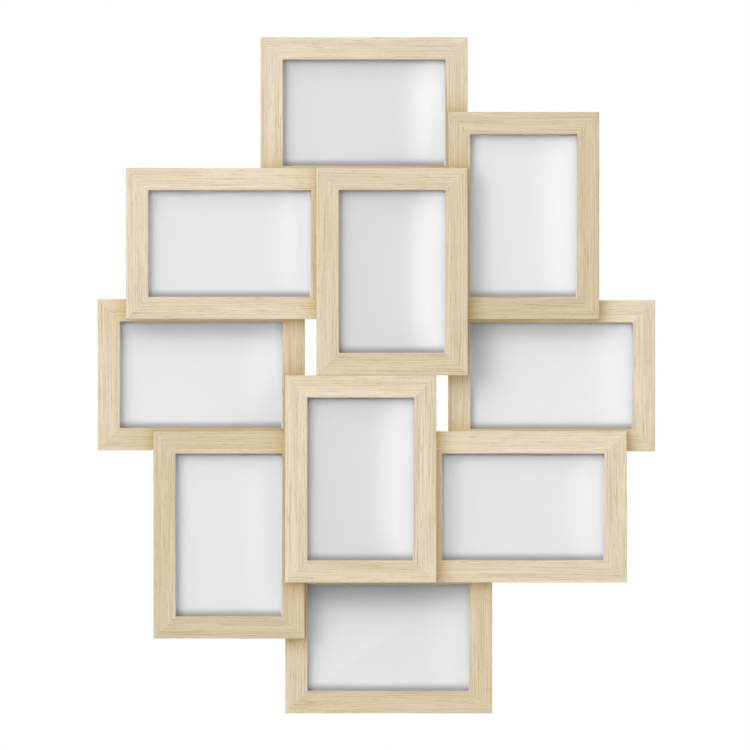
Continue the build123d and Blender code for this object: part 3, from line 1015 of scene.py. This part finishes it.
class COLLAGE_OT_cards(bpy.types.Operator):
    """Make the ten grey cards behind the glass"""

    bl_idname = "collage.make_cards"
    bl_label = "Make cards"

    def execute(self, context):
        width = context.scene.collage_mouldings.width
        solids, places, sizes, tones = [], [], [], []
        for name in FRAMES:
            low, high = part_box(name + RAILS)
            pane_low, pane_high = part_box(name + "_glass")
            board_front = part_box(name + "_backing_board")[0].y
            left, right, foot, head = pane_low.x, pane_high.x, pane_low.z, pane_high.z
            outline = [(left, foot), (right, foot), (right, head), (left, head)]
            points, faces = prism(outline, pane_high.y, board_front)
            window_low = np.array((low.x + width, low.z + width))
            window = np.array((high.x - width, high.z - width)) - window_low
            solids.append((points, faces))
            places.append(np.insert(points[:, [0, 2]] - window_low, 2, 0, axis=1))
            sizes.append(np.tile((*window, 0), (len(points), 1)))
            tones.append(np.full(len(points), CARD_TONE.get(name, 0.0)))
        mesh = new_mesh("cards", *joined(solids))
        for label, values in ((PRINT, places), (WINDOW, sizes), (TONE, tones)):
            add_values(mesh, label, "POINT", np.concatenate(values))
        card = card_look(context.scene.collage_cards)
        new_piece("card_inserts", mesh, card, BASE, "grey_paper", "insert_sheets")
        return {"FINISHED"}


class COLLAGE_OT_panes(bpy.types.Operator):
    """Finish the glass panes and the backing boards"""

    bl_idname = "collage.dress_panes"
    bl_label = "Finish glass and boards"

    def execute(self, context):
        glass = glass_look()
        board = board_look(context.scene.collage_fittings)
        for name in FRAMES:
            dress(name + "_glass", glass)
            dress(name + "_backing_board", board)
        return {"FINISHED"}


class COLLAGE_OT_buttons(bpy.types.Operator):
    """Make the turn buttons, each on its own hinge"""

    bl_idname = "collage.make_buttons"
    bl_label = "Make turn buttons"

    def execute(self, context):
        settings = context.scene.collage_fittings
        zinc = metal_look("zinc_plated_steel", settings.zinc, roughness=0.34, spot=0.0035)
        for joint in frame["joints"]:
            node = joint["child"]
            mesh = button_mesh(node, settings, Vector(joint["pos_m"]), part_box(node))
            name = node.replace("_turn_button_", "_button_")
            new_piece(name, mesh, zinc, node, "zinc_plated_steel", node)
        for node in ("hanger_plate_left", "hanger_plate_right"):
            dress(node, zinc)
        return {"FINISHED"}


class COLLAGE_OT_screws(bpy.types.Operator):
    """Make the screws with their cross recesses, and finish the corner nails"""

    bl_idname = "collage.make_screws"
    bl_label = "Make screws and nails"

    def execute(self, context):
        settings = context.scene.collage_fittings
        pivots = []
        for joint in frame["joints"]:
            x, _, z = joint["pos_m"]
            pivots.append((x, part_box(joint["child"])[1].y, z))
        shank = min(y for _, y, _ in pivots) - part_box("turn_button_screws")[0].y

        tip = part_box("hanger_screws")[0].y
        plate_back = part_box("hanger_plate_left")[1].y
        fixings = [(x, plate_back, z) for x, z in places_at("hanger_screws", tip)]

        sunk = []
        for back in sorted({round(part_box(name + RAILS)[1].y, DECIMALS) for name in FRAMES}):
            sunk += [(x, back, z) for x, z in places_at("joining_screws", back - settings.joining_length)]

        zinc = metal_look("zinc_screws", settings.zinc, roughness=0.28, spot=0.0015)
        for name, screw, places, node in (
            ("pivot_screws", pan_screw(settings, shank), pivots, "turn_button_screws"),
            ("hanger_fixings", pan_screw(settings, plate_back - tip), fixings, "hanger_screws"),
            ("wood_screws", flat_screw(settings), sunk, "joining_screws"),
        ):
            mesh = lathed_group(name, screw, places)
            new_piece(name, mesh, zinc, BASE, "zinc_plated_steel", node)
        dress("corner_nails", metal_look("plain_steel", settings.steel, roughness=0.4, spot=0.001))
        return {"FINISHED"}


class COLLAGE_OT_bumpers(bpy.types.Operator):
    """Make the rubber bumpers that rest on the wall"""

    bl_idname = "collage.make_bumpers"
    bl_label = "Make bumpers"

    def execute(self, context):
        low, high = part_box("wall_bumpers")
        points = node_points("wall_bumpers")
        foot = points[np.abs(points[:, 1] - low.y) < SAME_PLACE][:, [0, 2]]
        # The points of one bumper are nearer to each other than this
        apart = 0.02
        spots = []
        while len(foot):
            near = np.linalg.norm(foot - foot[0], axis=1) < apart
            spots.append((foot[near].min(0) + foot[near].max(0)) / 2)
            foot = foot[~near]
        radius = high.x - max(x for x, _ in spots)
        rings = bumper_rings(high.y - low.y, radius)
        mesh = lathed_group("rubber_bumpers", rings, [(x, low.y, z) for x, z in spots])
        rubber = rubber_look(context.scene.collage_fittings.rubber)
        new_piece("rubber_bumpers", mesh, rubber, BASE, "black_rubber", "wall_bumpers")
        return {"FINISHED"}


class COLLAGE_OT_stage(bpy.types.Operator):
    """Set up the camera, the light, the white surroundings and the floor"""

    bl_idname = "collage.set_stage"
    bl_label = "Set the stage"

    def execute(self, context):
        scene = context.scene
        settings = scene.collage_stage
        scene.view_settings.view_transform = "Standard"

        camera = bpy.data.objects.new("camera", bpy.data.cameras.new("camera"))
        scene.collection.objects.link(camera)
        camera.data.lens = settings.lens
        camera.data.sensor_width = settings.sensor
        distance = settings.view_width * settings.lens / settings.sensor
        camera.location = (settings.view_x, -distance, settings.view_z)
        camera.rotation_euler = (math.pi / 2, 0, 0)
        scene.camera = camera

        across, along, down = settings.key_way
        self.shine(scene, "key", (across, along, down), settings.key, settings.key_spread)
        self.shine(scene, "rear_key", (across, -along, down), settings.key, settings.key_spread)
        for name, way, part in WASHES:
            lamp = self.shine(scene, name + "_wash", way, settings.wash * part, settings.wash_spread)
            lamp.visible_glossy = False
        self.surround(scene)
        low, _ = packed_box
        rim = np.insert(settings.floor_radius * circle(FLOOR_POINTS), 2, 0, axis=1)
        rings = np.array([0 * rim, rim]) + (0, 0, low.z - settings.floor_drop)
        mesh = new_mesh("floor", rings, closed_quads(2, FLOOR_POINTS))
        floor = bpy.data.objects.new("floor", mesh)
        scene.collection.objects.link(floor)
        floor.data.materials.append(floor_look(settings.floor))
        if floor.data.polygons[0].normal.z < 0:
            floor.data.flip_normals()
        return {"FINISHED"}

    def shine(self, scene, name, way, strength, spread):
        """A far lamp that lights what is behind the glass as fully as the wood."""
        lamp = bpy.data.objects.new(name, bpy.data.lights.new(name, "SUN"))
        lamp.data.energy = strength
        lamp.data.angle = spread
        lamp.data.cycles.use_multiple_importance_sampling = False
        lamp.rotation_euler = Vector(way).to_track_quat("-Z", "Y").to_euler()
        lamp.visible_camera = False
        scene.collection.objects.link(lamp)
        return lamp

    def surround(self, scene):
        """White to the camera, in reflections and through glass, and no light on anything else."""
        look = Look("surround", "worlds", "OutputWorld")
        scene.world = look.owner
        path = look.add("LightPath", {}).outputs
        seen = look.math("MAXIMUM", path["Is Camera Ray"], path["Is Glossy Ray"])
        seen = look.math("MAXIMUM", seen, path["Is Transmission Ray"])
        look.end(look.add("Background", {"Color": (1, 1, 1, 1), "Strength": seen}).outputs[0])


class COLLAGE_PT_panel(bpy.types.Panel):
    """Lists the steps that finish the collage and the settings that they use"""

    bl_idname = "COLLAGE_PT_panel"
    bl_label = "Wall collage"
    bl_space_type = "VIEW_3D"
    bl_region_type = "UI"
    bl_category = "Collage"

    def draw(self, context):
        for step in STEPS:
            self.layout.operator(step.bl_idname)
        for place, group in GROUPS.items():
            box = self.layout.box()
            settings = getattr(context.scene, place)
            for name in group.__annotations__:
                box.prop(settings, name)


GROUPS = {
    "collage_mouldings": MouldingSettings,
    "collage_cards": CardSettings,
    "collage_fittings": FittingSettings,
    "collage_stage": StageSettings,
}
STEPS = (
    COLLAGE_OT_stage,
    COLLAGE_OT_mouldings,
    COLLAGE_OT_cards,
    COLLAGE_OT_panes,
    COLLAGE_OT_buttons,
    COLLAGE_OT_screws,
    COLLAGE_OT_bumpers,
)


def register():
    """Registers the settings, the steps and the panel."""
    for place, group in GROUPS.items():
        bpy.utils.register_class(group)
        setattr(bpy.types.Scene, place, PointerProperty(type=group))
    for step in STEPS:
        bpy.utils.register_class(step)
    bpy.utils.register_class(COLLAGE_PT_panel)


def unregister():
    """Takes them out again."""
    bpy.utils.unregister_class(COLLAGE_PT_panel)
    for step in reversed(STEPS):
        bpy.utils.unregister_class(step)
    for place, group in GROUPS.items():
        delattr(bpy.types.Scene, place)
        bpy.utils.unregister_class(group)


def main():
    """Takes every step in turn."""
    register()
    for step in STEPS:
        group, action = step.bl_idname.split(".")
        getattr(getattr(bpy.ops, group), action)()


if __name__ == "__main__":
    main()
